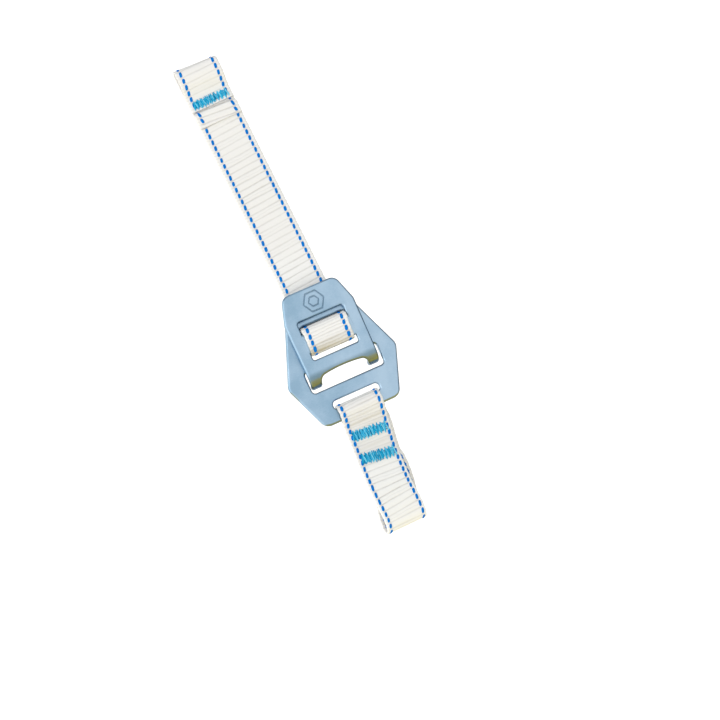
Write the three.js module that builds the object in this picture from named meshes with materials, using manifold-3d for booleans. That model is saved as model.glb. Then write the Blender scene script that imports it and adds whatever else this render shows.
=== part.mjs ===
// Two-plate webbing lock: a base plate, a locking plate that hooks over it, the threaded strap
// and a sewn attachment loop. Units are millimetres. +Z is the front, +Y runs along the strap.
// The origin is the centre of the base plate's middle web, on its back face.
import * as THREE from 'three';
import Module from 'manifold-3d';

const wasm = await Module();
wasm.setup();

// ---- driving dimensions -------------------------------------------------
const plateT = 3.0; // both plates
const edgeR = 1.25; // coined edge radius
const gap = 0.3; // clear distance between the two plates
const rad = (deg) => (deg * Math.PI) / 180;

const base = {
  wideY: 11.1, wideHalf: 32.0, // widest corners
  bottomY: -15.5, bottomHalf: 22.1,
  topY: 45.8, topHalf: 18.2,
  cornerR: 5.5, leftOut: 0.5, // the left corners sit a little further out
  slotTop: -4.0, slotBottom: -8.1, slotHalf: 13.6, slotR: 2.2, // attachment loop slot
  legTop: 15.9, legBottom: 3.7, legHalf: 21.6, legR: 2.0, // window for the hooked legs
  legLeftIn: 0.7, // its left end is this much nearer the middle
  strapHalf: 14.2, strapTop: 39.2, strapR: 3.4, // narrower window for the strap
};
const lock = {
  topY: 57.6, topHalf: 15.5, midY: 42.8, midHalf: 20.3, lowHalf: 20.1,
  cornerR: 5, shiftX: -0.3, rightOut: 0.45, // how far the upper right corners sit further out
  windowTop: 41.8, windowBottom: 20.0, windowHalf: 13.4, windowR: 1.3,
  barBottom: 11.8, archRise: 1.2, archR: 3.2, // lower cross bar
  legInner: 13.6, legTipY: 5.8, legBendR: 6.5, legTipZ: -1.7, tipR: 1.6,
  camBack: 23.85, camNoseY: 33.3, // hidden cross bar that the strap turns round
  markR: 6.3, markInnerR: 3.3, markLine: 0.75, markDepth: 0.35, markY: 49.4, // two plain hexagonal grooves
};
const web = { width: 25, t: 1.3, clear: 0.25 };
const strapLean = -0.0356; // dx/dy of the strap beyond the plates
const wrapLean = 0.03; // dx/dy of the turn round the cross bar
const wrapShift = -0.5; // its distance from the middle
const loopLean = -0.0645; // dx/dy of the attachment loop, away from the bar
const loopShift = -0.5;
const tailEndY = 168;
const eyeEndY = 193;
const loopEndY = -80;

const lockBack = plateT + gap; // underside of the locking plate
const lockFront = lockBack + plateT;

// ---- small helpers ------------------------------------------------------
const material = (color, metalness, roughness) =>
  new THREE.MeshStandardMaterial({ color, metalness, roughness });
const anodised = material(0x9fbcd6, 0.9, 0.42);
const webbing = material(0xf1f0eb, 0, 0.9);
const thread = material(0x28a0cd, 0, 0.8);

function node(name, geometry, mat) {
  const mesh = new THREE.Mesh(geometry, mat);
  mesh.name = name;
  return mesh;
}

// Corner points [x, y, r] to a closed list of Vector2 with each corner rounded.
function rounded(corners, steps = 7) {
  const out = [];
  corners.forEach(([x, y, r], i) => {
    const here = new THREE.Vector2(x, y);
    const [px, py] = corners[(i + corners.length - 1) % corners.length];
    const [nx, ny] = corners[(i + 1) % corners.length];
    const toPrev = new THREE.Vector2(px, py).sub(here).normalize();
    const toNext = new THREE.Vector2(nx, ny).sub(here).normalize();
    if (!r) return out.push(here);
    const half = Math.acos(toPrev.dot(toNext)) / 2;
    const centre = here.clone().add(
      toPrev.clone().add(toNext).normalize().multiplyScalar(r / Math.sin(half)));
    const a = here.clone().addScaledVector(toPrev, r / Math.tan(half)).sub(centre);
    const b = here.clone().addScaledVector(toNext, r / Math.tan(half)).sub(centre);
    const turn = Math.atan2(a.cross(b), a.dot(b));
    for (let k = 0; k <= steps; k++) {
      const p = a.clone().rotateAround(new THREE.Vector2(), (turn * k) / steps);
      out.push(p.add(centre));
    }
  });
  return out;
}

// Left-right symmetric outline from its right-hand corners, listed from the bottom to the top.
const mirrored = (right) => [...right, ...right.map(([x, y, r]) => [-x, y, r]).reverse()];

const rectangle = (half, low, high, r) =>
  mirrored([[half, low, r], [half, high, r]]);

function plate(outline, holes, z0, thickness = plateT, edge = edgeR, segments = 3) {
  const shape = new THREE.Shape(outline);
  shape.holes = holes.map((h) => new THREE.Path(h));
  const geometry = new THREE.ExtrudeGeometry(shape, {
    depth: thickness - 2 * edge, bevelEnabled: edge > 0, bevelThickness: edge,
    bevelSize: edge, bevelOffset: -edge, bevelSegments: segments,
  });
  return geometry.translate(0, 0, z0 + edge);
}

// Side profile in (Y, Z), extruded along X and centred on x.
function across(outline, holes, width, x = 0, edge = 0.3, segments = 2) {
  const geometry = plate(outline, holes, -width / 2, width, edge, segments);
  geometry.applyMatrix4(new THREE.Matrix4().makeBasis(
    new THREE.Vector3(0, 1, 0), new THREE.Vector3(0, 0, 1), new THREE.Vector3(1, 0, 0)));
  return geometry.translate(x, 0, 0);
}

function solid(geometry) {
  const bare = geometry.clone();
  bare.deleteAttribute('normal');
  bare.deleteAttribute('uv');
  const position = bare.getAttribute('position');
  const index = new Map();
  const points = [];
  const corners = [];
  for (let i = 0; i < position.count; i++) {
    const p = [position.getX(i), position.getY(i), position.getZ(i)];
    const key = p.map((v) => Math.round(v * 1e5)).join();
    if (!index.has(key)) {
      index.set(key, points.length / 3);
      points.push(...p);
    }
    corners.push(index.get(key));
  }
  const faces = [];
  for (let i = 0; i < corners.length; i += 3) {
    const [a, b, c] = corners.slice(i, i + 3);
    if (a !== b && b !== c && c !== a) faces.push(a, b, c);
  }
  return new wasm.Manifold(new wasm.Mesh({
    numProp: 3,
    vertProperties: new Float32Array(points),
    triVerts: new Uint32Array(faces),
  }));
}

function geometryOf(manifold) {
  const mesh = manifold.getMesh();
  const geometry = new THREE.BufferGeometry();
  geometry.setAttribute('position', new THREE.BufferAttribute(mesh.vertProperties, 3));
  geometry.setIndex(new THREE.BufferAttribute(mesh.triVerts, 1));
  geometry.computeVertexNormals();
  return geometry;
}

const union = (...parts) => parts.map(solid).reduce((a, b) => a.add(b));

const arc = (cy, cz, r, from, to, steps) =>
  Array.from({ length: steps + 1 }, (_, i) => {
    const a = rad(from + ((to - from) * i) / steps);
    return new THREE.Vector2(cy + r * Math.cos(a), cz + r * Math.sin(a));
  });

// Centre line moved sideways by d, to its left for d > 0.
function offset(line, d) {
  return line.map((p, i) => {
    const before = line[Math.max(i - 1, 0)];
    const after = line[Math.min(i + 1, line.length - 1)];
    const along = after.clone().sub(before).normalize();
    return new THREE.Vector2(p.x - along.y * d, p.y + along.x * d);
  });
}

const ribbon = (line) => [...offset(line, -web.t / 2), ...offset(line, web.t / 2).reverse()];

// Moves every point sideways by x(y), which is how the webbings lie a little askew.
function askew(geometry, x) {
  const position = geometry.getAttribute('position');
  for (let i = 0; i < position.count; i++) {
    position.setX(i, position.getX(i) + x(position.getY(i)));
  }
  return geometry;
}

const strapX = (y) => {
  const turned = wrapShift + wrapLean * Math.min(y - lock.camNoseY, 0);
  const straighter = 1 - THREE.MathUtils.smoothstep(y, lock.camNoseY, lock.camNoseY + 14);
  return turned * straighter + strapLean * Math.max(y - edgeC[0], 0);
};
const loopX = (y) => loopShift + loopLean * Math.max(barC[0] - 3 - y, 0);

// ---- base plate ---------------------------------------------------------
function basePlate() {
  const b = base;
  const outline = rounded(mirrored([
    [b.bottomHalf, b.bottomY, b.cornerR], [b.wideHalf, b.wideY, b.cornerR],
    [b.topHalf, b.topY, 3],
  ])).map((p) => (p.x < 0 && p.y > 5 ? new THREE.Vector2(p.x - b.leftOut, p.y) : p));
  const slot = rounded(mirrored([
    [b.slotHalf, b.slotBottom, edgeR], [b.slotHalf, b.slotTop, b.slotR],
  ]), 6);
  const window = rounded(mirrored([
    [b.legHalf, b.legBottom, b.legR], [b.legHalf, b.legTop, b.legR],
    [b.strapHalf, b.legTop, 1.6], [b.strapHalf, b.strapTop, b.strapR],
  ]), 6).map((p) => (p.x < -18 ? new THREE.Vector2(p.x + b.legLeftIn, p.y) : p));
  return node('base_plate', plate(outline, [slot, window], 0), anodised);
}

// ---- locking plate ------------------------------------------------------
// Splits the edges longer than most that reach below y, so that the sheet there can bend.
function refined(geometry, y, most) {
  const position = geometry.getAttribute('position');
  const out = [];
  const split = (tri) => {
    const lengths = tri.map((p, i) => {
      const q = tri[(i + 1) % 3];
      return Math.min(p.y, q.y) < y ? p.distanceTo(q) : 0;
    });
    const longest = lengths.indexOf(Math.max(...lengths));
    if (lengths[longest] <= most) return tri.forEach((p) => out.push(p.x, p.y, p.z));
    const [p, q, r] = [0, 1, 2].map((k) => tri[(longest + k) % 3]);
    const middle = p.clone().add(q).multiplyScalar(0.5);
    split([p, middle, r]);
    split([middle, q, r]);
  };
  const at = (i) => new THREE.Vector3().fromBufferAttribute(position, i);
  for (let i = 0; i < position.count; i += 3) split([at(i), at(i + 1), at(i + 2)]);
  const fine = new THREE.BufferGeometry();
  fine.setAttribute('position', new THREE.Float32BufferAttribute(out, 3));
  return fine;
}

// Bends the flat legs down a quarter turn, keeping the length of the sheet's middle.
const legBend = {
  y: lock.legTipY + lock.legBendR, z: lockFront - lock.legBendR,
  r: lock.legBendR - plateT / 2,
};
legBend.length = (legBend.r * Math.PI) / 2;

function bent(geometry) {
  const position = geometry.getAttribute('position');
  for (let i = 0; i < position.count; i++) {
    const along = legBend.y - position.getY(i);
    if (along <= 0) continue;
    const r = position.getZ(i) - legBend.z;
    const turn = Math.min(along, legBend.length) / legBend.r;
    const straight = Math.max(along - legBend.length, 0);
    position.setY(i, legBend.y - r * Math.sin(turn));
    position.setZ(i, legBend.z + r * Math.cos(turn) - straight);
  }
  return geometry;
}

function camBar() {
  const l = lock;
  const tail = plateT / 2;
  const profile = [
    ...arc(l.camNoseY, lockBack, plateT, 0, 90, 8),
    ...arc(l.camBack + tail, lockBack + tail, tail, 90, 270, 10),
  ];
  return across(profile, [], 2 * l.windowHalf + 1.6, 0, 0);
}

function markGrooves() {
  const l = lock;
  const hexagon = (r) => rounded(Array.from({ length: 6 }, (_, i) =>
    [r * Math.cos(rad(60 * i)), l.markY + r * Math.sin(rad(60 * i)), 0.6]), 3);
  const ring = (r) => plate(hexagon(r), [hexagon(r - l.markLine)], lockFront - l.markDepth, 1, 0);
  return union(ring(l.markR), ring(l.markInnerR));
}

function lockingPlate() {
  const l = lock;
  const tipY = legBend.y - legBend.length - (legBend.z - l.legTipZ);
  const arch = [0.5, 2.5, 4.5, 6.5, 8.5].map((x) =>
    [x, l.barBottom - l.archRise * (x / l.legInner) ** 2, 0]);
  const outline = rounded(mirrored([
    ...arch, [l.legInner, l.barBottom - l.archRise, l.archR],
    [l.legInner, tipY, l.tipR], [l.lowHalf, tipY, l.tipR],
    [l.midHalf, l.midY, l.cornerR], [l.topHalf, l.topY, l.cornerR],
  ])).map((p) => (p.x > 0 && p.y > 40 ? new THREE.Vector2(p.x + l.rightOut, p.y) : p));
  const window = rounded(rectangle(l.windowHalf, l.windowBottom, l.windowTop, l.windowR), 5);
  const sheet = bent(refined(plate(outline, [window], lockBack), legBend.y, 1.6));
  const body = union(sheet, camBar()).subtract(markGrooves());
  return node('locking_plate', geometryOf(body).translate(l.shiftX, 0, 0), anodised);
}

// ---- strap --------------------------------------------------------------
const half = web.t / 2;
const overCam = lockFront + web.clear + half; // strap centre lines
const underCam = lockBack - web.clear - half;
const wrapR = (overCam - underCam) / 2;
const wrapC = [lock.camBack + plateT / 2, (overCam + underCam) / 2];
const noseR = plateT + web.clear + half;
const edgeC = [base.strapTop + 1.5, plateT / 2]; // centre of the turn under the top bar
const turnR = 2.65;
const tailZ = edgeC[1] - turnR;
const loadZ = tailZ - web.t - 0.2;
const dive = (() => { // slope of the strap between the two turns
  const dy = edgeC[0] - lock.camNoseY;
  const dz = lockBack - edgeC[1];
  return THREE.MathUtils.radToDeg(
    Math.asin((noseR + turnR) / Math.hypot(dy, dz)) + Math.atan2(dz, dy));
})();

function strapWrap() {
  const line = [
    new THREE.Vector2(wrapC[0] + 1.6, underCam),
    ...arc(...wrapC, wrapR, 270, 90, 16),
    ...arc(lock.camNoseY, lockBack, noseR, 90, 90 - dive, 8),
  ];
  return node('strap_wrap', askew(across(ribbon(line), [], web.width), strapX), webbing);
}

function strapTail() {
  const start = new THREE.Vector2(
    lock.camNoseY + noseR * Math.sin(rad(dive)), lockBack + noseR * Math.cos(rad(dive)));
  const down = new THREE.Vector2(Math.cos(rad(dive)), -Math.sin(rad(dive)));
  const fold = web.t / 2 - 0.005;
  const line = [
    start.clone().addScaledVector(down, 0.4),
    ...arc(...edgeC, turnR, 270 - dive, 270, 8),
    new THREE.Vector2(tailEndY - fold, tailZ),
  ];
  const back = [
    new THREE.Vector2(tailEndY - 10, tailZ),
    ...arc(tailEndY - 2 * fold, tailZ + fold, fold, 270, 450, 6),
    new THREE.Vector2(tailEndY - 8, tailZ + 2 * fold),
  ].slice(1);
  const body = union(across(ribbon(line), [], web.width), across(ribbon(back), [], web.width));
  return node('strap_tail', askew(geometryOf(body), strapX), webbing);
}

function strapLoad() {
  const eyeR = 3.0;
  const joinZ = loadZ + web.t - 0.01;
  const curve = (points, n) => new THREE.SplineCurve(points.map(([y, z]) =>
    new THREE.Vector2(y, z))).getPoints(n);
  const line = [
    ...curve([[wrapC[0] + 2, underCam], [wrapC[0] + 5, underCam - 0.5], [34, -0.4],
      [39, loadZ + 0.45], [43, loadZ]], 16),
    new THREE.Vector2(eyeEndY - eyeR - 2, loadZ),
  ];
  const back = [
    new THREE.Vector2(eyeEndY - eyeR - 4, loadZ),
    ...arc(eyeEndY - eyeR, loadZ + eyeR, eyeR, 270, 430, 14),
    ...curve([[eyeEndY - 5.2, loadZ + 6.15], [eyeEndY - 9.5, loadZ + 5.3],
      [eyeEndY - 14, loadZ + 2.7], [eyeEndY - 17.5, joinZ], [tailEndY + 2, joinZ]], 18),
  ];
  const body = union(across(ribbon(line), [], web.width), across(ribbon(back), [], web.width));
  return node('strap_load_leg', askew(geometryOf(body), strapX), webbing);
}

// ---- attachment loop ----------------------------------------------------
const barC = [(base.slotBottom + base.bottomY) / 2, plateT / 2];
const loopR = 4.55;

function attachmentLoop() {
  const ends = [[-18, 3.7], [-22, 2.5], [-25, 2.16], [-30, 2.15], [-38, 2.15], [-44, 2.18],
    [-49, 2.9], [-56, 4.3], [-64, 5.1], [-72, 5.1], [-77, 4.3], [loopEndY + 0.7, 2.7]];
  const upper = [
    ...arc(...barC, loopR, 0, 100, 14).slice(0, -1),
    ...new THREE.SplineCurve([[...arc(...barC, loopR, 100, 100, 1)][0],
      ...ends.map(([y, z]) => new THREE.Vector2(y, z)),
      new THREE.Vector2(loopEndY, barC[1])]).getPoints(60),
  ];
  const flip = (p) => new THREE.Vector2(p.x, 2 * barC[1] - p.y);
  const outer = offset(upper, -half);
  const inner = offset(upper, half);
  const ring = (side, keep) => {
    const run = side.filter(keep);
    return [...run, ...run.slice(0, -1).map(flip).reverse()];
  };
  const outline = [...outer, ...outer.slice(1, -1).map(flip).reverse()];
  const open = (p) => p.y - barC[1] > 0.06;
  const atBar = ring([...inner], (p) => p.x > -30 && (open(p) || p.x > barC[0]));
  const eye = ring([...inner].reverse(), (p) => p.x < -40 && (open(p) || p.x < -76));
  const geometry = across(outline, [atBar, eye], web.width, 0, 0.2, 1);
  return node('attachment_loop', askew(geometry, loopX), webbing);
}

// ---- bar tacks ----------------------------------------------------------
function barTack(name, y, z) {
  const outline = rounded(rectangle(10.2, y - 2.3, y + 2.3, 0.6), 3);
  const geometry = plate(outline, [], z + 0.1, 0.5, 0.15, 1);
  return node(name, askew(geometry, y > 0 ? strapX : loopX), thread);
}

// ---- assembly -----------------------------------------------------------
const group = new THREE.Group();
group.name = 'webbing_lock';
group.add(
  basePlate(), lockingPlate(), strapWrap(), strapTail(), strapLoad(), attachmentLoop(),
  barTack('loop_bar_tack_upper', -26.4, barC[1] + web.t),
  barTack('loop_bar_tack_lower', -41.0, barC[1] + web.t),
  barTack('tail_bar_tack', tailEndY - 4.4, tailZ + 1.5 * web.t),
  barTack('eye_bar_tack', tailEndY + 5.2, loadZ + 1.5 * web.t),
);
export default group;
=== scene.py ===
import math

import bpy
import numpy as np
from mathutils import Matrix, Vector


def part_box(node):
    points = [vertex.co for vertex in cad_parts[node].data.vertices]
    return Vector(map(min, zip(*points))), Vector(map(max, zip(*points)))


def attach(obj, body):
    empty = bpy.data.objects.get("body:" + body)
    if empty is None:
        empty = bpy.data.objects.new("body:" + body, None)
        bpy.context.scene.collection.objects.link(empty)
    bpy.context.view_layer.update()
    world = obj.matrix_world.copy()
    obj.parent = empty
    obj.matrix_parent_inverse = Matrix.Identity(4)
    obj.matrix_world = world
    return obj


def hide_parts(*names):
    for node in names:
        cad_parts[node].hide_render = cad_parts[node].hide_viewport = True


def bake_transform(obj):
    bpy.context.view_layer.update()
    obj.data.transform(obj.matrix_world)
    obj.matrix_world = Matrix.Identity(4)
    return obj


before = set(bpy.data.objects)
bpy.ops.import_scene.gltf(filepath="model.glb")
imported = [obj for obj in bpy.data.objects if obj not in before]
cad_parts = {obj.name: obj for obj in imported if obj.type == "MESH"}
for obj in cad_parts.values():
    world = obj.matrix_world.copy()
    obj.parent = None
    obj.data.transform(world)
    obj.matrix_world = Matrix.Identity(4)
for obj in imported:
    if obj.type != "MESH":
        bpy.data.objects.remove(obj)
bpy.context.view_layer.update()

MM = 0.001
rng = np.random.default_rng(7)


# ---------------------------------------------------------------- camera
def add_camera():
    data = bpy.data.cameras.new("camera")
    data.sensor_width, data.lens = 36.0, 100.0
    data.clip_start, data.clip_end = 0.01, 20.0
    cam = bpy.data.objects.new("camera", data)
    bpy.context.scene.collection.objects.link(cam)
    x = Vector((0.89764, -0.41487, 0.14871))
    y = Vector((0.39788, 0.90798, 0.13139))
    turn = Matrix((x, y, x.cross(y))).transposed().to_4x4()
    cam.matrix_world = Matrix.Translation((-0.19376, -0.05262, 1.05556)) @ turn
    bpy.context.scene.camera = cam


add_camera()

# ---------------------------------------------------------------- sizes, in mm; many from the CAD
HALF = 0.65  # half the webbing's thickness
WIDE = 12.5  # half its width
PITCH = 3.6  # one rib, and one dash of tracer yarn
LAYER_GAP = 0.04  # between two sewn layers
CLEAR = 0.25  # between the webbing and what it turns round
PLATE_GAP = 0.3  # between the two plates
TURN_R = 2.65  # the tail's turn under the top bar
EYE_R = 3.0  # the eye in the load end
END_ROOM = 0.1  # the folds stay this far inside the CAD box
FOLDED = 8  # length of the layer folded back at each end of the strap
BAR_HALF = 3.7  # half the height of the bar that holds the loop
BAR_TURN_R = 4.55  # the loop's turn round it


def box_mm(node):
    lo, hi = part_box(node)
    return np.array(lo) / MM, np.array(hi) / MM


wrap_lo, wrap_hi = box_mm("strap_wrap")
tail_lo, tail_hi = box_mm("strap_tail")
load_lo, load_hi = box_mm("strap_load_leg")
base_lo, base_hi = box_mm("base_plate")
LOOP_LOW = box_mm("attachment_loop")[0][1]
PLATE = base_hi[2]
OVER = wrap_hi[2] - HALF
UNDER = wrap_lo[2] + HALF
TAIL_Z = tail_lo[2] + HALF
LOAD_Z = load_lo[2] + HALF
TAIL_END, EYE_END = tail_hi[1], load_hi[1]
TURN = np.array([base_hi[1] - 5.1, PLATE / 2])  # centre of the tail's turn under the top bar
NOSE_Y = wrap_hi[1] - 3.6  # the cross bar's nose is centred here

# how far the centre lines go sideways: a shift in mm, and leans in mm per mm
STRAP_LEAN, LEAN_ROUND = -0.0356, 5  # the lean sets in over LEAN_ROUND
WRAP_SHIFT, WRAP_LEAN = -0.5, 0.03
LOOP_SHIFT, LOOP_LEAN = -0.5, 0.092
LOOP_ROLL = math.radians(13)
LOOP_MEET = 2.6  # where the loop's two legs meet again, from the leaning line

# the loop's upper side, from the bar to the low end: points (y, z)
LOOP_SIDE = [[-18, 3.7], [-22, 2.5], [-25, 2.2], [-30, 2.19], [-38, 2.19], [-44, 2.22], [-49, 2.9],
             [-56, 4.3], [-64, 5.1], [-72, 5.1], [-77, 4.3]]


# ---------------------------------------------------------------- paths in (y, z), mm
def arc(cy, cz, r, start, end, n=24):
    a = np.radians(np.linspace(start, end, n))
    return np.stack([cy + r * np.cos(a), cz + r * np.sin(a)], 1)


def catmull(points, n=14):
    p = np.array(points, float)
    p = np.vstack([2 * p[0] - p[1], p, 2 * p[-1] - p[-2]])
    t = np.linspace(0, 1, n, endpoint=False)[:, None]
    out = [
        0.5 * (2 * b + (c - a) * t + (2 * a - 5 * b + 4 * c - d) * t**2
               + (3 * b - a - 3 * c + d) * t**3)
        for a, b, c, d in zip(p, p[1:], p[2:], p[3:])
    ]
    return np.vstack([*out, p[-2:-1]])


def resample(line, step):
    line = line[np.r_[True, np.linalg.norm(np.diff(line, axis=0), axis=1) > 1e-6]]
    s = np.r_[0, np.cumsum(np.linalg.norm(np.diff(line, axis=0), axis=1))]
    at = np.linspace(0, s[-1], int(s[-1] / step) + 1)
    return np.stack([np.interp(at, s, line[:, k]) for k in range(line.shape[1])], 1)


def smoothed(line, sigma):
    """Gaussian smoothing along a line of evenly spaced points, sigma in points; the ends stay."""
    reach = int(3 * sigma)
    kernel = np.exp(-0.5 * (np.arange(-reach, reach + 1) / sigma) ** 2)
    kernel /= kernel.sum()
    first, last = 2 * line[:1] - line[reach:0:-1], 2 * line[-1:] - line[-2 : -reach - 2 : -1]
    padded = np.vstack([first, line, last])
    return np.stack([np.convolve(padded[:, k], kernel, "valid") for k in range(line.shape[1])], 1)


def smoothed_ring(ring, sigma):
    n = len(ring)
    return smoothed(np.vstack([ring] * 3), sigma)[n : 2 * n]


def ease(t):
    t = np.clip(t, 0, 1)
    return t * t * (3 - 2 * t)


def hump(value, centre, reach):
    return np.exp(-(((value - centre) / reach) ** 2))


class Path:
    """A webbing's centre line: points, frames and arc length, in mm."""

    def __init__(self, line, closed=False):
        self.p, self.closed = line, closed
        step = np.roll(line, -1, 0) - np.roll(line, 1, 0)
        if not closed:
            step[0], step[-1] = line[1] - line[0], line[-1] - line[-2]
        self.t = step / np.linalg.norm(step, axis=1, keepdims=True)
        x = np.array([1.0, 0, 0])
        side = x - self.t * (self.t @ x)[:, None]
        self.side = side / np.linalg.norm(side, axis=1, keepdims=True)
        self.n = np.cross(self.t, self.side)
        self.s = np.r_[0, np.cumsum(np.linalg.norm(np.diff(line, axis=0), axis=1))]
        self.length = self.s[-1] + (np.linalg.norm(line[0] - line[-1]) if closed else 0)

    def roll(self, angle, axis_x, axis_z):
        """Turns each cross section about the line along Y through (axis_x, axis_z)."""
        c, d = np.cos(angle)[:, None], np.sin(angle)[:, None]

        def spin(v):
            x, y, z = v[:, :1], v[:, 1:2], v[:, 2:]
            return np.concatenate([c * x + d * z, y, c * z - d * x], 1)

        centre = np.stack([axis_x, 0 * angle, 0 * angle + axis_z], 1)
        self.p = centre + spin(self.p - centre)
        self.side, self.n, self.t = spin(self.side), spin(self.n), spin(self.t)

    def at(self, s):
        s = np.mod(s, self.length) if self.closed else np.clip(s, 0, self.length)
        return [np.stack([np.interp(s, self.s, v[:, k]) for k in range(3)], -1)
                for v in (self.p, self.side, self.n)]

    def place(self, s, across, out):
        p, side, n = self.at(s)
        return p + side * across[..., None] + n * out[..., None]

    def nearest(self, y, z):
        """Arc length of the point nearest to (y, z)."""
        return self.s[int(np.argmin(np.hypot(self.p[:, 1] - y, self.p[:, 2] - z)))]


def strap_path():
    """From the tail's folded end round the cross bar to the end folded into the eye."""
    nose = (NOSE_Y, PLATE + PLATE_GAP)
    nose_r = PLATE + CLEAR + HALF
    dy, dz = TURN[0] - nose[0], nose[1] - TURN[1]
    dive = math.degrees(math.asin((nose_r + TURN_R) / math.hypot(dy, dz)) + math.atan2(dz, dy))
    wrap_r = (OVER - UNDER) / 2
    wrap_c = (wrap_lo[1] + HALF + wrap_r, (OVER + UNDER) / 2)
    fold_z = TAIL_Z + 2 * HALF + LAYER_GAP
    join_z = LOAD_Z + 2 * HALF + LAYER_GAP
    line = np.vstack([
        [[TAIL_END - FOLDED, fold_z]],
        arc(TAIL_END - HALF - END_ROOM, TAIL_Z + HALF, HALF + LAYER_GAP / 2, 90, -90, 14),
        arc(*TURN, TURN_R, 270, 270 - dive),
        arc(*nose, nose_r, 90 - dive, 90),
        arc(*wrap_c, wrap_r, 90, 270, 40),
        catmull([[wrap_c[0] + 2, UNDER], [wrap_c[0] + 5, UNDER - 0.5], [34, -0.4],
                 [39, LOAD_Z + 0.45], [43, LOAD_Z]]),
        [[EYE_END - FOLDED, LOAD_Z]],
        arc(EYE_END - EYE_R, LOAD_Z + EYE_R, EYE_R, 270, 430, 24),
        catmull([[EYE_END - 5.2, LOAD_Z + 6.15], [EYE_END - 9.5, LOAD_Z + 5.3],
                 [EYE_END - 14, LOAD_Z + 2.7], [EYE_END - 17.5, join_z], [TAIL_END + 2, join_z]]),
    ])
    yz = smoothed(resample(line, 0.2), 2.0)
    y = yz[:, 0]
    past = y - TURN[0]
    x = STRAP_LEAN * np.where(past > LEAN_ROUND, past - LEAN_ROUND / 2,
                              np.clip(past, 0, LEAN_ROUND) ** 2 / (2 * LEAN_ROUND))
    x += (WRAP_SHIFT + WRAP_LEAN * np.minimum(y - NOSE_Y, 0)) * (1 - ease((y - NOSE_Y + 1) / 8))
    return Path(resample(np.c_[x, yz], 0.25))


def loop_path():
    """A closed ring round the bottom bar; its back leg parts from the front one."""
    bar = np.array([base_lo[1] + BAR_HALF, PLATE / 2])
    low_end = [[LOOP_LOW + HALF + 0.7, 2.9], [LOOP_LOW + HALF, bar[1]]]
    top = arc(*bar, BAR_TURN_R, 0, 100, 20)
    upper = np.vstack([top[:-1], catmull([top[-1], *LOOP_SIDE, *low_end])])
    lower = upper[::-1] * [1, -1] + [0, 2 * bar[1]]
    ring = resample(np.vstack([upper, lower[1:]]), 0.2)[:-1]
    ring = smoothed_ring(ring, 2.0)

    def past_bar(y):
        return np.clip(bar[0] - 3 - y, 0, None)

    past = past_bar(ring[:, 0])
    apart = (1.6 * ease((past + 4) / 14) + 0.5 * np.clip(past - 28.5, 0, 3.5)
             + 0.15 * np.clip(past - 32, 0, 9))
    meet = ease((past - 40) / 25)
    front = ring[:, 1] > bar[1]
    x = LOOP_SHIFT - LOOP_LEAN * past + np.where(
        front, LOOP_MEET * meet, apart + (LOOP_MEET - apart) * meet)
    ring = np.c_[smoothed_ring(x[:, None], 8.0), ring]
    path = Path(resample(np.vstack([ring, ring[:1]]), 0.25)[:-1], closed=True)
    y = path.p[:, 1]
    path.roll(LOOP_ROLL * ease((bar[0] - 2 - y) / 26), LOOP_SHIFT - LOOP_LEAN * past_bar(y), bar[1])
    return path


# ---------------------------------------------------------------- webbing mesh
SELVEDGE, SELVEDGE_RISE = 10.6, 0.7  # the selvedge begins here, and is full this much further out
GROOVE_DEEP, GROOVE_WIDE = 0.22, 0.36  # between two ribs
MINOR_WIDE = 0.3  # the fine groove in the middle of a rib
TRACER, LOOP_TRACER = 9.75, 10.35  # the tracers' distance from the middle
TRACER_DEEP, TRACER_REACH = 0.07, 0.75  # the furrow they lie in


def rib(s, a, phase, fine, skew):
    """Height, 0 at a crest, for arc length s and distance a across.

    fine adds a groove in the middle of each rib.
    """
    t = (s - skew) / PITCH + phase
    whole = np.floor(t)
    wander = (0.24 * np.sin(a * 0.33 + 1.7 * whole) + 0.1 * np.sin(a * 1.3 + 2.3 * whole)
              + 0.06 * np.sin(a * 3.1 + whole))
    edge = ease((np.abs(a) - SELVEDGE) / SELVEDGE_RISE)
    t = t + wander * (1 - edge) / PITCH * np.sin(np.pi * np.mod(t, 1))
    to_groove = (np.mod(t + 0.5, 1) - 0.5) * PITCH
    to_middle = (np.mod(t, 1) - 0.5) * PITCH
    strength = 0.85 + 0.3 * np.sin(12.9898 * np.round(t) + 1.3)
    fade = 0.75 + 0.35 * np.sin(a * 0.21 + 5.1 * whole) * np.sin(2.6 * whole + 0.4)
    main = GROOVE_DEEP * strength * fade * hump(to_groove, 0, GROOVE_WIDE)
    main = main + 0.05 * np.cos(np.pi * to_groove / PITCH) ** 6
    minor = (0.02 + 0.09 * np.sin(7.3 * whole + 1) ** 8 + 0.12 * fine) * hump(
        to_middle, 0, MINOR_WIDE)
    selvedge = 0.15 * (1 - np.abs(np.sin(2 * np.pi * t)) ** 0.7)
    return -(main + minor) * (1 - edge) - selvedge * edge


def cross_section():
    """A flat strip with round edges: points (across, out)."""
    a = np.linspace(-WIDE + HALF, WIDE - HALF, 31)
    cap = np.radians(np.linspace(90, -90, 8)[1:-1])
    right = np.stack([WIDE - HALF + HALF * np.cos(cap), HALF * np.sin(cap)], 1)
    top = np.stack([a, np.full_like(a, HALF)], 1)
    return np.vstack([top, right, top[::-1] * [1, -1], right[::-1] * [-1, 1]])


def new_object(name, verts, faces, mat, smooth=True):
    mesh = bpy.data.meshes.new(name)
    mesh.from_pydata([tuple(v) for v in verts * MM], [], faces)
    mesh.polygons.foreach_set("use_smooth", [smooth] * len(mesh.polygons))
    mesh.materials.append(mat)
    obj = bpy.data.objects.new(name, mesh)
    bpy.context.scene.collection.objects.link(obj)
    return obj


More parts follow.
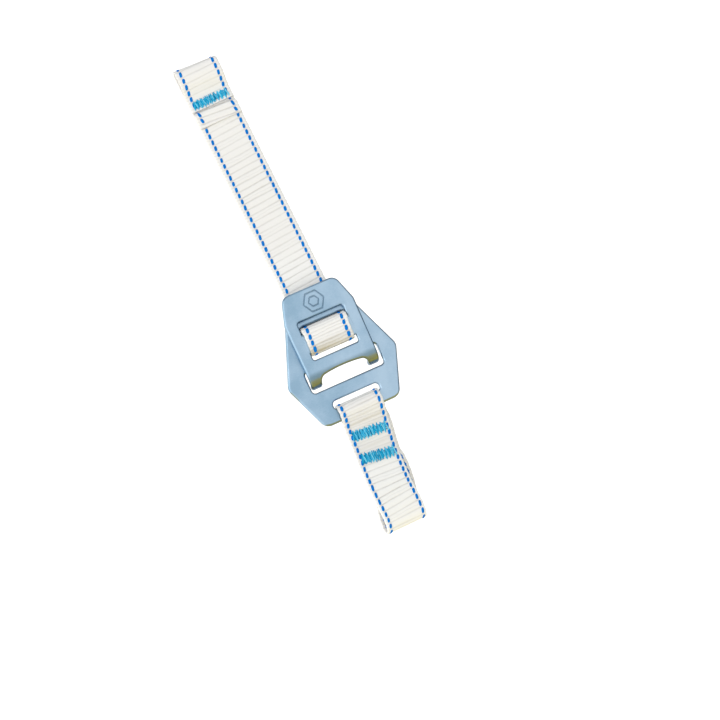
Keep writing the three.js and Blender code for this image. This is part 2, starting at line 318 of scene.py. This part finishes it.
def add_attribute(obj, name, values):
    attribute = obj.data.attributes.new(name, "FLOAT", "POINT")
    attribute.data.foreach_set("value", values.reshape(-1).astype(np.float32))


def webbing(name, path, mat, shifts, fine, tan, lift, phase=0.0, flare=None):
    """A strip round path.

    shifts(s) is how far the ribs move at the left and right tracer, fine(p) how strong the fine
    grooves are, tan(...) where painted warm shade darkens the colour, lift(...) where painted light
    lightens it, and flare(p) how much wider each side is.
    """
    ring = cross_section()
    m, n = len(ring), len(path.p)
    s = path.s[:, None] + 0 * ring[None, :, 0]
    a = ring[None, :, 0] + 0 * s
    b = ring[None, :, 1] + 0 * s
    left, right = shifts(path.s)
    skew = left[:, None] + (right - left)[:, None] * (a / TRACER + 1) / 2
    height = rib(s, a, phase, fine(path.p)[:, None], skew)
    height = height - TRACER_DEEP * hump(np.abs(a), TRACER, TRACER_REACH)
    b = b + np.sign(b) * height * np.minimum(1, np.abs(b) / HALF)
    bulge = (0.08 * np.cos(2 * np.pi * ((s - skew) / PITCH + phase) + np.pi)
             * ease((np.abs(a) - 11.3) / 1.2))
    wider = (a / WIDE) * flare(path.p)[:, None] if flare else 0
    a = a + np.sign(a) * bulge + wider
    verts = path.p[:, None] + path.side[:, None] * a[..., None] + path.n[:, None] * b[..., None]
    rows = n if path.closed else n - 1
    i, j = np.meshgrid(np.arange(rows), np.arange(m), indexing="ij")
    k, l = (i + 1) % n, (j + 1) % m
    faces = np.stack([i * m + j, i * m + l, k * m + l, k * m + j], -1).reshape(-1, 4).tolist()
    if not path.closed:
        faces.append(list(range(m))[::-1])
        faces.append(list(range((n - 1) * m, n * m)))
    obj = new_object(name, verts.reshape(-1, 3), faces, mat)
    add_attribute(obj, "groove", (-height / 0.3).clip(0, 1))
    add_attribute(obj, "tan", tan(path, s, a, b, height).clip(0, 1))
    add_attribute(obj, "lift", lift(path, b).clip(0, 1))
    loops = np.zeros(len(obj.data.loops), np.int32)
    obj.data.loops.foreach_get("vertex_index", loops)
    across_s = np.stack([a.reshape(-1), s.reshape(-1)], 1)[loops] * MM * 100  # in cm
    weave = obj.data.uv_layers.new(name="weave")
    weave.data.foreach_set("uv", across_s.reshape(-1).astype(np.float32))
    return obj


BEAD_LONG, BEAD_WIDE, BEAD_TALL = 1.33, 0.79, 0.24  # half a dash
BEAD_SLANT = 0.16


def tracers(name, path, mat, shifts, spread, phase=0.0, wider=None, sunk=0.0):
    """Dashes of tracer yarn, one bead on each rib, in two lines on both faces.

    spread(y) is a line's distance from the middle, wider(y) widens the beads, and sunk is how
    deep those on the inner face lie.
    """
    theta = np.linspace(0, np.pi, 9)[1:-1]
    phi = np.linspace(0, 2 * np.pi, 10, endpoint=False)
    r, c = len(theta), len(phi)
    along = np.sign(np.cos(theta)) * np.abs(np.cos(theta)) ** 0.7
    girth = np.sin(theta) ** 0.42
    count = int(path.length / PITCH)
    verts, faces = [], []
    o = 0
    for face in (1, -1):
        level = HALF - (sunk if face < 0 else 0)
        for line in (-1, 1):
            for k in range(count):
                s0 = (k + 0.5 - phase) * PITCH
                s0 += float(np.interp(s0, path.s, shifts(path.s)[0 if line < 0 else 1]))
                y0 = path.at(np.array([s0]))[0][0, 1]
                long = BEAD_LONG + 0.06 * rng.standard_normal()
                wide = BEAD_WIDE + 0.03 * rng.standard_normal()
                if wider:
                    wide *= wider(y0)
                middle = line * spread(y0)
                s_mid = s0 + long * along[:, None] + 0 * phi[None, :]
                a_mid = (middle + girth[:, None] * wide * np.cos(phi)[None, :]
                         - BEAD_SLANT * along[:, None] * long)
                out = face * (level + 0.03 + BEAD_TALL * girth[:, None] * np.sin(phi)[None, :])
                tips_s = s0 + np.array([1, -1]) * long * 1.04
                tips_a = middle - BEAD_SLANT * np.array([1, -1]) * long
                verts += [path.place(s_mid.ravel(), a_mid.ravel(), out.ravel()),
                          path.place(tips_s, tips_a, np.full(2, face * (level + 0.02)))]
                around = [(j, (j + 1) % c) for j in range(c)]
                quad = [(o + i * c + j, o + i * c + l, o + (i + 1) * c + l, o + (i + 1) * c + j)
                        for i in range(r - 1) for j, l in around]
                quad += [(o + l, o + j, o + r * c) for j, l in around]
                quad += [(o + (r - 1) * c + j, o + (r - 1) * c + l, o + r * c + 1)
                         for j, l in around]
                faces += quad if face > 0 else [q[::-1] for q in quad]
                o += r * c + 2
    return new_object(name, np.vstack(verts), faces, mat)


# ---------------------------------------------------------------- bar tacks
TACK_LONG, TACK_TALL, END_TACK_TALL = 20.4, 2.95, 2.5


def tube(points, radius, sides=6):
    """Rings of a round thread along points, closed at both ends."""
    t = np.gradient(points, axis=0)
    t /= np.linalg.norm(t, axis=1, keepdims=True)
    side = np.cross(t, [0, 0, 1.0])
    side /= np.linalg.norm(side, axis=1, keepdims=True)
    up = np.cross(side, t)
    a = np.linspace(0, 2 * np.pi, sides, endpoint=False)
    n = len(points)
    r = radius * np.ones(n)
    r[[0, -1]] *= 0.45
    verts = (points[:, None] + r[:, None, None] * (side[:, None] * np.cos(a)[None, :, None]
             + up[:, None] * np.sin(a)[None, :, None])).reshape(-1, 3)
    around = [(j, (j + 1) % sides) for j in range(sides)]
    faces = [(i * sides + j, i * sides + l, (i + 1) * sides + l, (i + 1) * sides + j)
             for i in range(n - 1) for j, l in around]
    faces += [tuple(range(sides))[::-1], tuple((n - 1) * sides + j for j in range(sides))]
    return verts, faces


def bar_tack(name, path, s_front, s_back, mat, tall=TACK_TALL, tilt=0.0):
    """Zigzag stitching over the webbing at arc length s_front, and on its other face at s_back.

    tilt is the slope across the front face.
    """
    # shade holds painted light and shade per thread: darker for the straight under-stitches and the
    # backstitches, lighter for the upper zigzag layers, alternating along each zigzag
    verts, faces, shade = [], [], []

    def add(points, radius, value):
        v, f = tube(points, radius)
        o = sum(len(x) for x in verts)
        verts.append(v)
        faces.extend([tuple(q + o for q in face) for face in f])
        shade.append(np.full(len(v), value))

    def zigzag(s0, way, middle, count, tall, offset, lift, radius):
        x = np.linspace(-TACK_LONG / 2, TACK_LONG / 2, count) + rng.uniform(-0.12, 0.12, count)
        for i in range(count - 1):
            up = 1 if i % 2 else -1
            low, high = tall * (0.82 + 0.34 * rng.random(2))
            u = np.linspace(-1, 1, 11)
            along = up * np.where(u < 0, u * low, u * high) + offset
            across = middle + x[i] + (x[i + 1] - x[i]) * (u + 1) / 2 + 0.08 * np.sin(4 * u + i)
            rise = HALF - 0.34 + lift + 0.52 * np.cos(u * np.pi / 2).clip(0) ** 0.5
            add(path.place(s0 + way * along + slope * across, across, rise),
                radius * (0.9 + 0.2 * rng.random()),
                0.3 + 0.4 * (i % 2) + 0.16 * rng.standard_normal() + 0.3 * lift)

    ahead = path.at(np.array([s_front, s_front + 1]))[0][:, 1]
    slope = tilt * np.sign(ahead[1] - ahead[0])
    front_x, back_x = path.at(np.array([s_front, s_back]))[0][:, 0]
    for s0, way, middle in ((s_front, 1, 0.0), (s_back, -1, front_x - back_x)):
        for row in np.linspace(-0.5, 0.5, 4) * tall:  # straight stitches under the zigzag
            u = np.linspace(-TACK_LONG / 2, TACK_LONG / 2, 60)
            wave = row + 0.18 * np.sin(u * 2.1 + row * 5)
            rise = HALF - 0.06 + 0.05 * np.sin(u * 5 + row)
            add(path.place(s0 + wave, u + middle, rise), 0.2, 0.25)
        zigzag(s0, way, middle, 27, tall * 0.76, 0.0, 0.0, 0.36)
        if way > 0:
            zigzag(s0, 1, middle, 21, tall * 1.06, 0.1, 0.2, 0.3)
            zigzag(s0, 1, middle + 0.2, 19, tall * 0.98, -0.1, 0.34, 0.26)
    knot = np.linspace(0, 1, 9)
    for k in range(7):  # backstitches that lock the left end
        at = -TACK_LONG / 2 + 0.35 * k + 0.2
        along = (knot * 2 - 1) * tall * (0.7 + 0.2 * rng.random())
        rise = HALF + 0.28 + 0.12 * np.sin(np.pi * knot)
        add(path.place(s_front + along, at + 0.3 * np.sin(3 * knot + k), rise), 0.24,
            0.15 + 0.1 * (k % 3))
    obj = new_object(name, np.vstack(verts), faces, mat)
    add_attribute(obj, "shade", np.concatenate(shade))
    return obj


# ---------------------------------------------------------------- node trees
def srgb(r, g, b):
    linear = (((c / 255 + 0.055) / 1.055) ** 2.4 if c > 10 else c / 255 / 12.92 for c in (r, g, b))
    return [*linear, 1.0]


class Nodes:
    def __init__(self, tree):
        self.tree = tree

    def add(self, kind, **settings):
        node = self.tree.nodes.new(kind)
        inputs = settings.pop("inputs", {})
        for key, value in settings.items():
            setattr(node, key, value)
        for key, value in inputs.items():
            self.put(node.inputs[key], value)
        return node

    def put(self, socket, value):
        if hasattr(value, "is_output"):
            self.tree.links.new(value, socket)
        else:
            socket.default_value = value

    def ramp(self, fac, stops):
        node = self.add("ShaderNodeValToRGB", inputs={"Fac": fac})
        while len(node.color_ramp.elements) < len(stops):
            node.color_ramp.elements.new(0.5)
        for element, (at, colour) in zip(node.color_ramp.elements, stops):
            element.position, element.color = at, colour
        return node.outputs["Color"]

    def mix(self, fac, a, b):
        return self.add("ShaderNodeMix", data_type="RGBA", inputs={0: fac, 6: a, 7: b}).outputs[2]

    def math(self, operation, a, b=0.0):
        return self.add("ShaderNodeMath", operation=operation, inputs={0: a, 1: b}).outputs[0]

    def product(self, first, *others):
        for value in others:
            first = self.math("MULTIPLY", first, value)
        return first

    def map(self, value, to_low, to_high):
        return self.add("ShaderNodeMapRange", inputs={
            "Value": value, "To Min": to_low, "To Max": to_high}).outputs[0]

    def step(self, value, low, high, to_low=0.0, to_high=1.0):
        return self.add("ShaderNodeMapRange", interpolation_type="SMOOTHSTEP", inputs={
            "Value": value, "From Min": low, "From Max": high,
            "To Min": to_low, "To Max": to_high}).outputs[0]

    def apart(self, vector):
        return self.add("ShaderNodeSeparateXYZ", inputs={"Vector": vector}).outputs

    def noise(self, vector, scale, detail=4.0, rough=0.5):
        return self.add("ShaderNodeTexNoise", inputs={
            "Vector": vector, "Scale": scale, "Detail": detail, "Roughness": rough}).outputs["Fac"]

    def bump(self, height, distance, strength=1.0, normal=None):
        inputs = {"Height": height, "Distance": distance, "Strength": strength}
        if normal is not None:
            inputs["Normal"] = normal
        return self.add("ShaderNodeBump", inputs=inputs).outputs["Normal"]

    def attribute(self, name):
        return self.add("ShaderNodeAttribute", attribute_name=name).outputs["Fac"]


class Material(Nodes):
    def __init__(self, name):
        self.mat = bpy.data.materials.new(name)
        self.mat.use_nodes = True
        super().__init__(self.mat.node_tree)
        self.bsdf = self.tree.nodes["Principled BSDF"]

    def object_place(self):
        return self.add("ShaderNodeTexCoord").outputs["Object"]

    def set(self, **inputs):
        for key, value in inputs.items():
            self.put(self.bsdf.inputs[key.replace("_", " ")], value)


# ---------------------------------------------------------------- materials
# painted shade colour for the plates' rounded edges and walls
PAINTED_EDGE_SHADE = srgb(56, 98, 130)
SHADED_LEG = srgb(70, 96, 98)
# painted reflection colour of the warm fabric on faces turned towards it
PAINTED_FABRIC_REFLECTION = srgb(130, 129, 68)
# painted light: the webbing's colour where it is painted lighter
PAINTED_LIGHT_WEB = srgb(252, 252, 248)
# painted shade and warm bounce light: the webbing's colour where it is painted warmer and darker
PAINTED_WARM_SHADE_WEB = srgb(181, 172, 146)
FRONT_Z = 0.0031  # just over the base plate's front
MARK_LOW, MARK_HIGH = 0.0055, 0.0062  # heights round the floor of the mark's grooves
YARN_CM, PICK_CM = 0.062, 0.06  # the weave's two wavelengths


def anodised():
    n = Material("anodised_plate")
    where = n.object_place()
    stretched = n.add("ShaderNodeMapping", inputs={"Vector": where, "Scale": (60, 420, 200)})
    cloudy = n.noise(where, 90, 3)
    fine = n.noise(where, 2600, 5, 0.65)
    brushed = n.noise(stretched.outputs[0], 12, 4, 0.6)
    place = n.apart(where)
    y, level = place["Y"], place["Z"]
    mixed = n.math("ADD", n.math("MULTIPLY", cloudy, 0.6), n.math("MULTIPLY", brushed, 0.4))
    mixed = n.math("ADD", mixed, n.math("MULTIPLY", place["X"], 3.6))  # painted light: lighter to the right
    colour = n.ramp(mixed, [(0.34, srgb(143, 174, 197)), (0.5, srgb(158, 186, 208)),
                            (0.66, srgb(172, 197, 217))])
    soft = n.add("ShaderNodeBevel", samples=6, inputs={"Radius": 0.0008}).outputs[0]
    facing = n.add("ShaderNodeVectorTransform", vector_type="NORMAL", convert_from="WORLD",
                   convert_to="OBJECT", inputs={0: soft}).outputs[0]
    normal = n.apart(facing)
    nx, ny, nz = normal["X"], normal["Y"], normal["Z"]
    up = n.math("ABSOLUTE", nz)

    def less(amount, value):
        """amount where value is 0, and nothing of it where value is 1."""
        return n.math("MULTIPLY", amount, n.math("SUBTRACT", 1.0, value))

    # painted shade: rounded edges and walls are painted darker, but not the lower edges by the
    # loop, the left edges, the locking plate's top edge and the top bar's wall over the strap's
    # turn
    kept = n.product(n.step(ny, -0.9, -0.3, 1.0, 0.0), n.step(up, 0.2, 0.42),
                     n.step(y, 0.014, 0.03, 1.0, 0.0))
    edge = less(n.step(up, 0.6, 0.96, 0.85, 0.0), n.math("MULTIPLY", kept, 0.85))
    bright = n.math("MAXIMUM",
                    n.product(n.step(nx, -0.5, -0.15, 0.9, 0.0), n.step(up, 0.08, 0.2)),
                    n.product(n.step(ny, 0.15, 0.5, 0.0, 0.9), n.step(y, 0.044, 0.052)))
    edge = less(edge, bright)
    over_turn = n.product(n.step(ny, -0.7, -0.3, 0.8, 0.0), n.step(y, 0.034, 0.038),
                          n.math("LESS_THAN", level, FRONT_Z))
    edge = less(edge, over_turn)
    # painted shade also darkens the floor of the mark's grooves
    mark = n.product(n.math("LESS_THAN", level, MARK_HIGH), n.math("GREATER_THAN", level, MARK_LOW),
                     n.math("GREATER_THAN", y, 0.03), n.step(up, 0.9, 0.97))
    edge = n.math("ADD", edge, n.math("MULTIPLY", mark, 0.5))
    colour = n.mix(edge, colour, PAINTED_EDGE_SHADE)
    # painted shade: the legs get darker where they bend
    shade = n.product(n.step(y, 0.0115, 0.0148, 0.55, 0.0), n.step(y, 0.0088, 0.0108),
                      n.math("GREATER_THAN", level, 0.0035))
    colour = n.mix(shade, colour, SHADED_LEG)
    # painted reflection: the faces that turn towards the fabric by the loop are painted with its
    # warm colour
    warm = n.product(n.step(ny, -0.42, -0.16, 1.0, 0.0), n.step(ny, -0.86, -0.76),
                     n.math("GREATER_THAN", nz, 0.2))
    on_legs = n.product(n.step(y, 0.017, 0.02, 0.85, 0.0), n.step(y, 0.002, 0.005))
    on_low_edge = n.step(y, -0.0145, -0.0135, 0.85, 0.0)
    colour = n.mix(n.product(warm, n.math("ADD", on_legs, on_low_edge)), colour, PAINTED_FABRIC_REFLECTION)
    n.set(Base_Color=colour, Metallic=0.88, Roughness=n.map(fine, 0.27, 0.4), IOR=1.6,
          Normal=n.bump(fine, 0.00002, 0.5, n.bump(brushed, 0.00002, 0.35, soft)))
    return n.mat


def fabric():
    n = Material("webbing")
    uv = n.add("ShaderNodeUVMap", uv_map="weave").outputs["UV"]
    across, along = n.apart(uv)["X"], n.apart(uv)["Y"]
    groove = n.attribute("groove")
    yarns = n.math("SINE", n.math("MULTIPLY", across, 2 * math.pi / YARN_CM))
    picks = n.math("SINE", n.math("MULTIPLY", along, 2 * math.pi / PICK_CM))
    weave = n.math("MULTIPLY", yarns, picks)
    fuzz = n.noise(uv, 60, 5, 0.6)
    height = n.math("ADD", n.math("MULTIPLY", weave, 0.5), n.math("MULTIPLY", fuzz, 0.9))
    # painted shade: the grooves between ribs are darker, with random tone from the fuzz
    shade = n.math("ADD", n.math("MULTIPLY", groove, 0.85), n.math("MULTIPLY", fuzz, 0.22))
    colour = n.ramp(shade, [(0.0, srgb(238, 237, 234)), (0.22, srgb(235, 234, 231)),
                            (0.9, srgb(207, 205, 200))])
    # painted light from the lift attribute, kept out of the grooves
    lift = n.math("MULTIPLY", n.attribute("lift"), n.math("SUBTRACT", 1.0, groove))
    colour = n.mix(lift, colour, PAINTED_LIGHT_WEB)
    # painted warm shade and bounce light from the tan attribute
    tan = n.math("MULTIPLY", n.attribute("tan"), n.map(n.noise(uv, 9, 3), 0.6, 1.25))
    colour = n.mix(tan, colour, PAINTED_WARM_SHADE_WEB)
    n.set(Base_Color=colour, Roughness=0.85, Sheen_Weight=0.15, Sheen_Roughness=0.6,
          Specular_IOR_Level=0.2, Normal=n.bump(height, 0.00009, 0.55))
    return n.mat


def yarn(name, low, mid, high, attribute=None):
    n = Material(name)
    fibres = n.noise(n.object_place(), 1500, 4, 0.6)
    value = fibres
    if attribute:
        value = n.math("ADD", n.math("MULTIPLY", n.attribute(attribute), 0.55),
                       n.math("MULTIPLY", fibres, 0.45))
    colour = n.ramp(value, [(0.25, low), (0.5, mid), (0.8, high)])
    n.set(Base_Color=colour, Roughness=0.6, Specular_IOR_Level=0.08,
          Normal=n.bump(fibres, 0.00006, 0.6))
    return n.mat


plate_mat = anodised()
web_mat = fabric()
tracer_mat = yarn("tracer", srgb(0, 90, 172), srgb(0, 118, 207), srgb(8, 146, 230))
tack_mat = yarn("bar_tack", srgb(0, 122, 170), srgb(26, 170, 216), srgb(132, 220, 242), "shade")


# ---------------------------------------------------------------- plates
def smooth_shading():
    """Smooth shading of the CAD meshes, except across edges sharper than 42 degrees."""
    group = bpy.data.node_groups.new("smooth_shading", "GeometryNodeTree")
    for way in ("INPUT", "OUTPUT"):
        group.interface.new_socket("Geometry", in_out=way, socket_type="NodeSocketGeometry")
    start, end = group.nodes.new("NodeGroupInput"), group.nodes.new("NodeGroupOutput")
    weld = group.nodes.new("GeometryNodeMergeByDistance")
    weld.inputs["Distance"].default_value = 2e-6
    faces = group.nodes.new("GeometryNodeSetShadeSmooth")
    edges = group.nodes.new("GeometryNodeSetShadeSmooth")
    edges.domain = "EDGE"
    angle = group.nodes.new("GeometryNodeInputMeshEdgeAngle")
    soft = group.nodes.new("FunctionNodeCompare")
    soft.data_type, soft.operation = "FLOAT", "LESS_THAN"
    soft.inputs[1].default_value = math.radians(42)
    group.links.new(start.outputs[0], weld.inputs[0])
    group.links.new(weld.outputs[0], faces.inputs[0])
    group.links.new(faces.outputs[0], edges.inputs[0])
    group.links.new(angle.outputs["Unsigned Angle"], soft.inputs[0])
    group.links.new(soft.outputs[0], edges.inputs["Shade Smooth"])
    group.links.new(edges.outputs[0], end.inputs[0])
    return group


shading = smooth_shading()
for part in ("base_plate", "locking_plate"):
    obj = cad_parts[part]
    obj.data.materials.clear()
    obj.data.materials.append(plate_mat)
    obj.modifiers.new("smooth", "NODES").node_group = shading
    weighted = obj.modifiers.new("weighted_normals", "WEIGHTED_NORMAL")
    weighted.weight, weighted.keep_sharp = 100, True

# ---------------------------------------------------------------- strap and loop
strap = strap_path()
loop = loop_path()
HIDDEN_Y = (60, 38)  # the tail is under the locking plate between these
hidden_s = [strap.nearest(y, TAIL_Z) for y in HIDDEN_Y]
LOOP_PHASE = 0.2


def strap_shifts(at):
    """The ribs lie differently on the strap and, past the hidden part, on its turn."""
    turned = ease((at - hidden_s[0]) / (hidden_s[1] - hidden_s[0]))
    return 2.0 - 2.65 * turned, 0.61 - 2.0 * turned


def loop_shifts(at):
    return 0 * at + 0.4, 0 * at - 0.35


def strap_fine(p):
    return ease((p[:, 1] - 20) / 3) * (1 - ease((p[:, 1] - 37) / 6)) * (p[:, 2] > 2.6)


def loop_fine(p):
    return 0.6 * ease((p[:, 1] + 30) / 12)


def strap_flare(p):
    """The strap is pressed wider round the cross bar, most of all at its nose."""
    y = p[:, 1]
    return 0.25 * (1 - ease((y - 38) / 6)) + 0.4 * hump(y, 36, 2) * (p[:, 2] > 1)


def round_bar(y):
    """1 on the strap's turn round the cross bar, 0 on the straight strap."""
    return 1 - ease((y - 34) / 12)


# painted shade and warm bounce light on the strap's turn round the cross bar, strongest where it
# faces down and in its grooves
def strap_painted_warm_shade(path, s, a, b, height):
    y, z = path.p[:, 1:2] + 0 * a, path.p[:, 2:] + 0 * a
    turn = ease((29.5 - y) / 5) * (z > 0) * (b > 0)
    faces_down = (-path.n[:, 1:2] * np.sign(b)).clip(0, 1)
    bands = 0.8 + 0.5 * np.sin(3.1 * s / PITCH + 0.09 * a)
    return turn * (0.3 + 1.15 * faces_down) * bands - 2.2 * height * turn


# painted warm shade on the front of the loop's ribs below the bar, most on the lower half of each
# rib
def loop_painted_warm_shade(path, s, a, b, height):
    y = path.p[:, 1:2] + 0 * a
    band = hump(y, -19.5, 4.5) + 0.45 * hump(y, -33, 4)
    lower = 0.5 + 0.5 * np.sin(2 * np.pi * s / PITCH + 0.15 * a)
    return band * (b > 0) * (0.06 + 0.42 * lower) * (1 - 0.3 * np.abs(a) / WIDE)


# painted light along the straight strap past its turn
def strap_painted_light(path, b):
    y = path.p[:, 1:2] + 0 * b
    return 0.3 * ease((y - 27) / 5) * (1 - ease((y - 68) / 20))


# painted light on the front of the loop's low end
def loop_painted_light(path, b):
    y = path.p[:, 1:2] + 0 * b
    return 0.7 * ease((-41 - y) / 6) * (b > 0)


strap_web = webbing("strap_webbing", strap, web_mat, strap_shifts, strap_fine, strap_painted_warm_shade,
                    strap_painted_light, flare=strap_flare)
strap_yarn = tracers("strap_tracer_yarns", strap, tracer_mat, strap_shifts,
                     spread=lambda y: TRACER + 0.33 * round_bar(y),
                     wider=lambda y: 1 + 0.13 * round_bar(y))
loop_web = webbing("loop_webbing", loop, web_mat, loop_shifts, loop_fine, loop_painted_warm_shade, loop_painted_light,
                   phase=LOOP_PHASE)
loop_yarn = tracers("loop_tracer_yarns", loop, tracer_mat, loop_shifts,
                    spread=lambda y: LOOP_TRACER, phase=LOOP_PHASE, sunk=0.25)

TACKS = ("loop_bar_tack_upper", "loop_bar_tack_lower", "tail_bar_tack", "eye_bar_tack")
tack_y = [float(sum(corner[1] for corner in box_mm(part)) / 2) for part in TACKS]
LOWER_UP, LOWER_TILT = 1.15, -0.045  # the lower tack sits this much higher, and slopes
tacks = []
for part, y, tilt in ((TACKS[0], tack_y[0], 0.0), (TACKS[1], tack_y[1] + LOWER_UP, LOWER_TILT)):
    tacks.append(bar_tack(part + "_stitches", loop, loop.nearest(y, 2.2), loop.nearest(y, 0.8),
                          tack_mat, tilt=tilt))
# the tail's folded end and the strap's eye are sewn through both layers: the tail's stitches
# show on the folded layer, and the eye's also on the load leg's back
fold_s = strap.nearest(tack_y[2], TAIL_Z + 2 * HALF)
eye_s = strap.nearest(tack_y[3], LOAD_Z + 2 * HALF)
eye_back = strap.nearest(tack_y[3], LOAD_Z)
tacks.append(bar_tack(TACKS[2] + "_stitches", strap, fold_s, fold_s, tack_mat, END_TACK_TALL))
tacks.append(bar_tack(TACKS[3] + "_stitches", strap, eye_s, eye_back, tack_mat, END_TACK_TALL))

for obj in (strap_web, strap_yarn):
    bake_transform(obj)
for obj in (loop_web, loop_yarn, *tacks[:2]):
    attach(obj, "loop")
for obj in tacks[2:]:
    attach(obj, "base")
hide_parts("strap_wrap", "strap_tail", "strap_load_leg")
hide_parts("attachment_loop")
for obj, part in zip(tacks, TACKS):
    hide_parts(part)


# ---------------------------------------------------------------- floor, world and light
def add_floor():
    half, x, y, z = 0.42, 0.107, 0.04, -0.5
    corners = ((-1, -1), (1, -1), (1, 1), (-1, 1))
    verts = np.array([[x + i * half, y + j * half, z] for i, j in corners]) / MM
    n = Material("floor")
    colour = n.ramp(n.noise(n.object_place(), 40, 3),
                    [(0.0, (0.93, 0.93, 0.93, 1)), (1.0, (0.95, 0.95, 0.95, 1))])
    n.set(Base_Color=colour, Roughness=0.95, Specular_IOR_Level=0.0, Emission_Color=(1, 1, 1, 1),
          Emission_Strength=0.25)
    new_object("floor", verts, [(0, 1, 2, 3)], n.mat, False)


def add_world():
    """Pale above, dark blue below, with two cards that only show in reflections."""
    world = bpy.data.worlds.new("studio")
    bpy.context.scene.world = world
    world.use_nodes = True
    n = Nodes(world.node_tree)
    way = n.apart(n.add("ShaderNodeTexCoord").outputs["Generated"])
    x, y, z = way["X"], way["Y"], way["Z"]
    colour = n.ramp(z, [(0.0, (0.085, 0.125, 0.165, 1)), (0.28, (0.1, 0.145, 0.185, 1)),
                        (0.52, (1.0, 1.0, 1.0, 1)), (1.0, (1.07, 1.07, 1.07, 1))])
    warm_card = n.product(n.step(z, -0.5, -0.34), n.step(z, 0.24, 0.4, 1.0, 0.0),
                          n.step(y, -0.74, -0.46, 1.0, 0.0))
    colour = n.mix(warm_card, colour, (1.3, 1.12, 0.42, 1))
    left_card = n.product(n.step(z, -0.95, -0.75), n.step(z, 0.8, 1.0, 1.0, 0.0),
                          n.step(x, -0.64, -0.4, 1.0, 0.0))
    colour = n.mix(left_card, colour, (1.38, 1.34, 1.29, 1))
    seen = n.add("ShaderNodeLightPath").outputs["Is Camera Ray"]
    n.put(n.tree.nodes["Background"].inputs["Color"], n.mix(seen, colour, (1, 1, 1, 1)))


def add_key_light():
    data = bpy.data.lights.new("key", "AREA")
    data.shape, data.size, data.energy, data.color = "DISK", 0.7, 1.2, (0.98, 0.99, 1.0)
    lamp = bpy.data.objects.new("key", data)
    place, aim = Vector((-0.75, 0.25, 0.62)), Vector((0, 0.03, 0))
    lamp.location = place
    lamp.rotation_euler = (aim - place).to_track_quat("-Z", "Y").to_euler()
    bpy.context.scene.collection.objects.link(lamp)


add_floor()
add_world()
add_key_light()
view = bpy.context.scene.view_settings
view.view_transform, view.look, view.exposure, view.gamma = "Standard", "None", 0.0, 1.0
